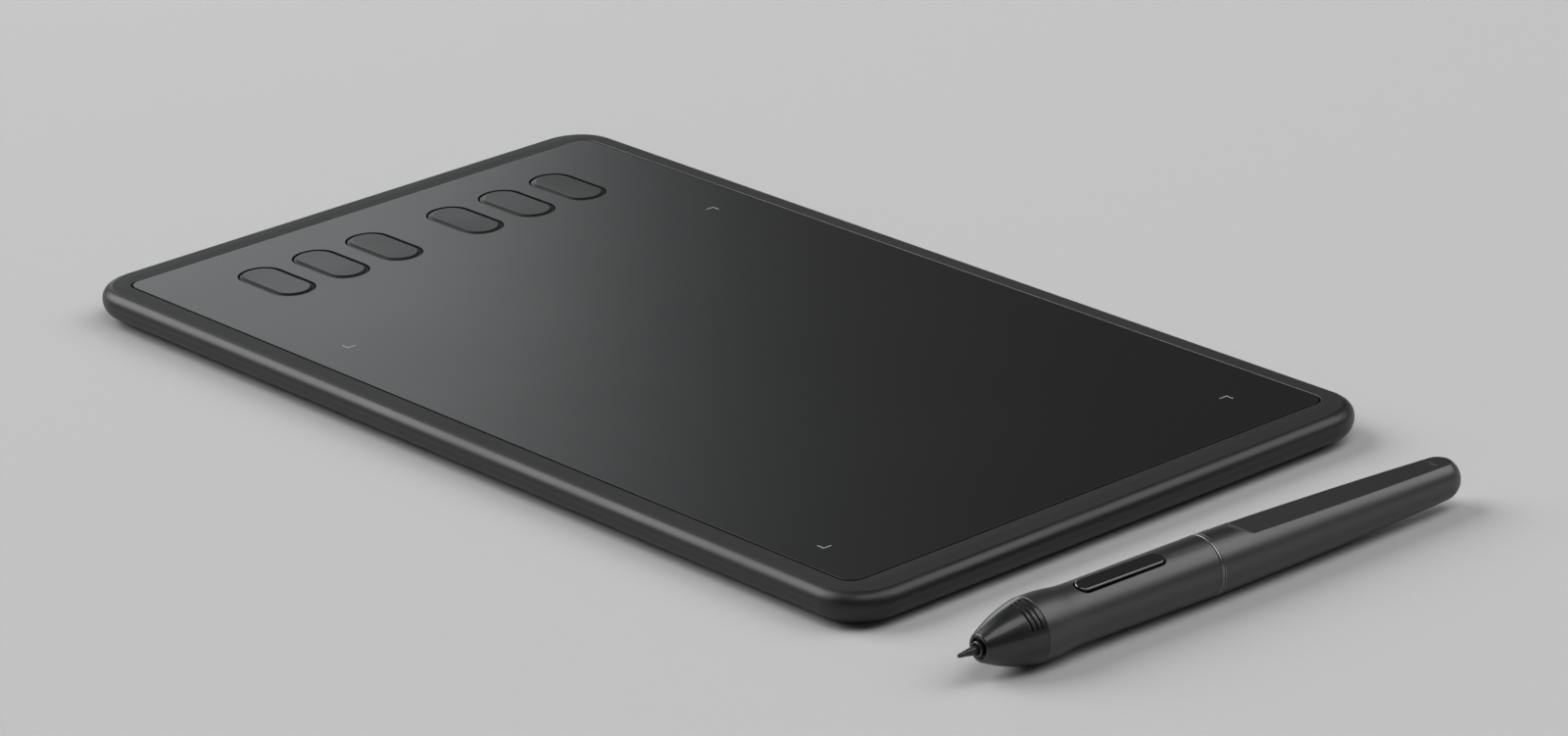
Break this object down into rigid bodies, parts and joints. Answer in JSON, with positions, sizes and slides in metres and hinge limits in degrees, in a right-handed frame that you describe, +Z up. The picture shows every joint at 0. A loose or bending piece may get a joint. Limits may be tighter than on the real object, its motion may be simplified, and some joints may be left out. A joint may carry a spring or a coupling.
{
  "type": "graphics tablet with pen",
  "caption": "Flat pen tablet with a column of obround express keys at one end of its drawing surface, and a slim pen with a side switch lying beside the other end.",
  "frame": {"origin": "middle of the tablet's four feet on the surface that it stands on", "axes": "+X along the tablet from the express keys to the end beside the pen, +Y across it from the edge nearest the pen's tip, +Z up"},
  "size_m": [0.2972, 0.1432, 0.0135],
  "materials": {
    "shell": "fine satin texture",
    "surface": "smooth satin with a paper-like drag",
    "keys": "satin",
    "feet": "matt",
    "inner_plastic": "as moulded",
    "screws": "zinc plated",
    "plate": "mill finish",
    "shield": "thin foil",
    "circuit_board": "solder mask over fibreglass",
    "switch_plastic": "as moulded",
    "chip": "moulded epoxy",
    "ribbon": "polyimide film",
    "connector": "as moulded",
    "port_steel": "plated",
    "nib": "smooth acetal",
    "holder": "turned",
    "pen_nose": "glossy",
    "pen_shell": "satin soft-touch",
    "ring": "polished",
    "side_switch": "glossy",
    "ferrite": "sintered",
    "copper": "enamelled wire"
  },
  "bodies": {
    "tablet": {"top_frame": "shell", "surface_panel": "surface", "key_guide": "inner_plastic", "bottom_cover": "shell", "foot_1": "feet", "foot_2": "feet", "foot_3": "feet", "foot_4": "feet", "case_screws": "screws", "board_screws": "screws", "stiffening_plate": "plate", "shield_sheet": "shield", "sensor_board": "circuit_board", "control_board": "circuit_board", "tact_switches": "switch_plastic", "board_chips": "chip", "ribbon_cable": "ribbon", "ribbon_connector": "connector", "usb_port": "port_steel"},
    "key_1": {"key_1": "keys"},
    "key_2": {"key_2": "keys"},
    "key_3": {"key_3": "keys"},
    "key_4": {"key_4": "keys"},
    "key_5": {"key_5": "keys"},
    "key_6": {"key_6": "keys"},
    "pen": {"pen_nose_cone": "pen_nose", "pen_grip": "pen_shell", "pen_ring": "ring", "pen_rear_barrel": "pen_shell", "pen_carrier": "inner_plastic", "pen_ferrite_core": "ferrite", "pen_coil": "copper", "pen_pressure_sensor": "port_steel", "pen_circuit_board": "circuit_board", "pen_tact_switches": "switch_plastic"},
    "nib": {"pen_nib": "nib", "pen_nib_holder": "holder"},
    "side_switch": {"pen_side_switch": "side_switch"}
  },
  "joints": [
    {"name": "key_1_press", "type": "slide", "parent": "tablet", "child": "key_1", "axis": [0, 0, -1], "range_m": [0, 0.0003], "stiffness_N_per_m": 400, "springref_m": -0.0005},
    {"name": "key_2_press", "type": "slide", "parent": "tablet", "child": "key_2", "axis": [0, 0, -1], "range_m": [0, 0.0003], "stiffness_N_per_m": 400, "springref_m": -0.0005},
    {"name": "key_3_press", "type": "slide", "parent": "tablet", "child": "key_3", "axis": [0, 0, -1], "range_m": [0, 0.0003], "stiffness_N_per_m": 400, "springref_m": -0.0005},
    {"name": "key_4_press", "type": "slide", "parent": "tablet", "child": "key_4", "axis": [0, 0, -1], "range_m": [0, 0.0003], "stiffness_N_per_m": 400, "springref_m": -0.0005},
    {"name": "key_5_press", "type": "slide", "parent": "tablet", "child": "key_5", "axis": [0, 0, -1], "range_m": [0, 0.0003], "stiffness_N_per_m": 400, "springref_m": -0.0005},
    {"name": "key_6_press", "type": "slide", "parent": "tablet", "child": "key_6", "axis": [0, 0, -1], "range_m": [0, 0.0003], "stiffness_N_per_m": 400, "springref_m": -0.0005},
    {"name": "pen_lift", "type": "slide", "parent": "tablet", "child": "pen", "axis": [0, 0, 1], "range_m": [0, 0.1]},
    {"name": "nib_press", "type": "slide", "parent": "pen", "child": "nib", "axis": [0.0305, 0.9995, -0.0082], "range_m": [0, 0.0005], "stiffness_N_per_m": 1500, "springref_m": -0.0002},
    {"name": "side_switch_rock", "type": "hinge", "parent": "pen", "child": "side_switch", "pos_m": [0.16126, -0.03282, 0.00852], "axis": [-0.9676, 0.0316, 0.2504], "range_deg": [-1.5, 1.5], "stiffness_Nm_per_rad": 0.3}
  ]
}
